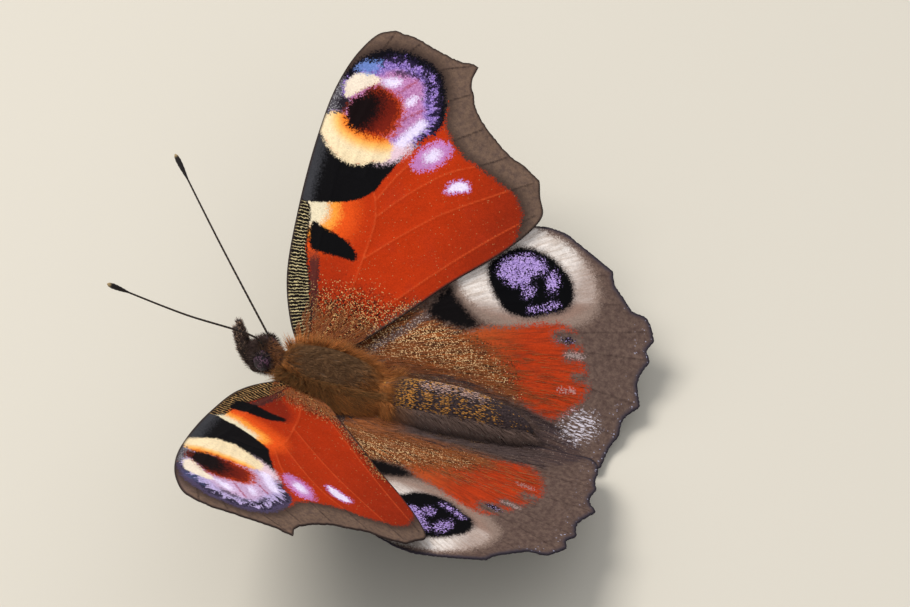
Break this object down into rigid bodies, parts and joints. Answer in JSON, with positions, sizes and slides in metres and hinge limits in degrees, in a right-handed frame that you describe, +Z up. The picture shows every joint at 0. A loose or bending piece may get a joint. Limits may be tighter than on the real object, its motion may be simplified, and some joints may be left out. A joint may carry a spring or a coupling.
{
  "type": "peacock butterfly",
  "caption": "Peacock butterfly standing with its wings spread in a shallow V and its feelers raised; a still, life-size display model of the insect.",
  "frame": {"origin": "on the ground, under the middle of the bounding box", "axes": "+X is the insect's own left, across the spread wings and the longest extent; -Y is the way the head faces; +Z is up and the shortest extent"},
  "size_m": [0.0604, 0.0406, 0.0202],
  "materials": {
    "body_hair": "long soft hair",
    "abdomen_scales": "fine scales and short hair",
    "tongue": "horn, satin",
    "eye": "satin dome",
    "feeler": "matt horn with fine scales",
    "forewing_scales": "powdery scales",
    "hindwing_scales": "powdery scales",
    "leg": "matt horn with fine scales"
  },
  "bodies": {
    "root": {"head": "body_hair", "thorax": "body_hair", "abdomen": "abdomen_scales", "proboscis": "tongue", "eye_left": "eye", "antenna_left": "feeler", "palp_left": "body_hair", "forewing_left": "forewing_scales", "hindwing_left": "hindwing_scales", "leg_fore_left": "leg", "leg_mid_left": "leg", "leg_hind_left": "leg", "eye_right": "eye", "antenna_right": "feeler", "palp_right": "body_hair", "forewing_right": "forewing_scales", "hindwing_right": "hindwing_scales", "leg_fore_right": "leg", "leg_mid_right": "leg", "leg_hind_right": "leg"}
  },
  "joints": []
}
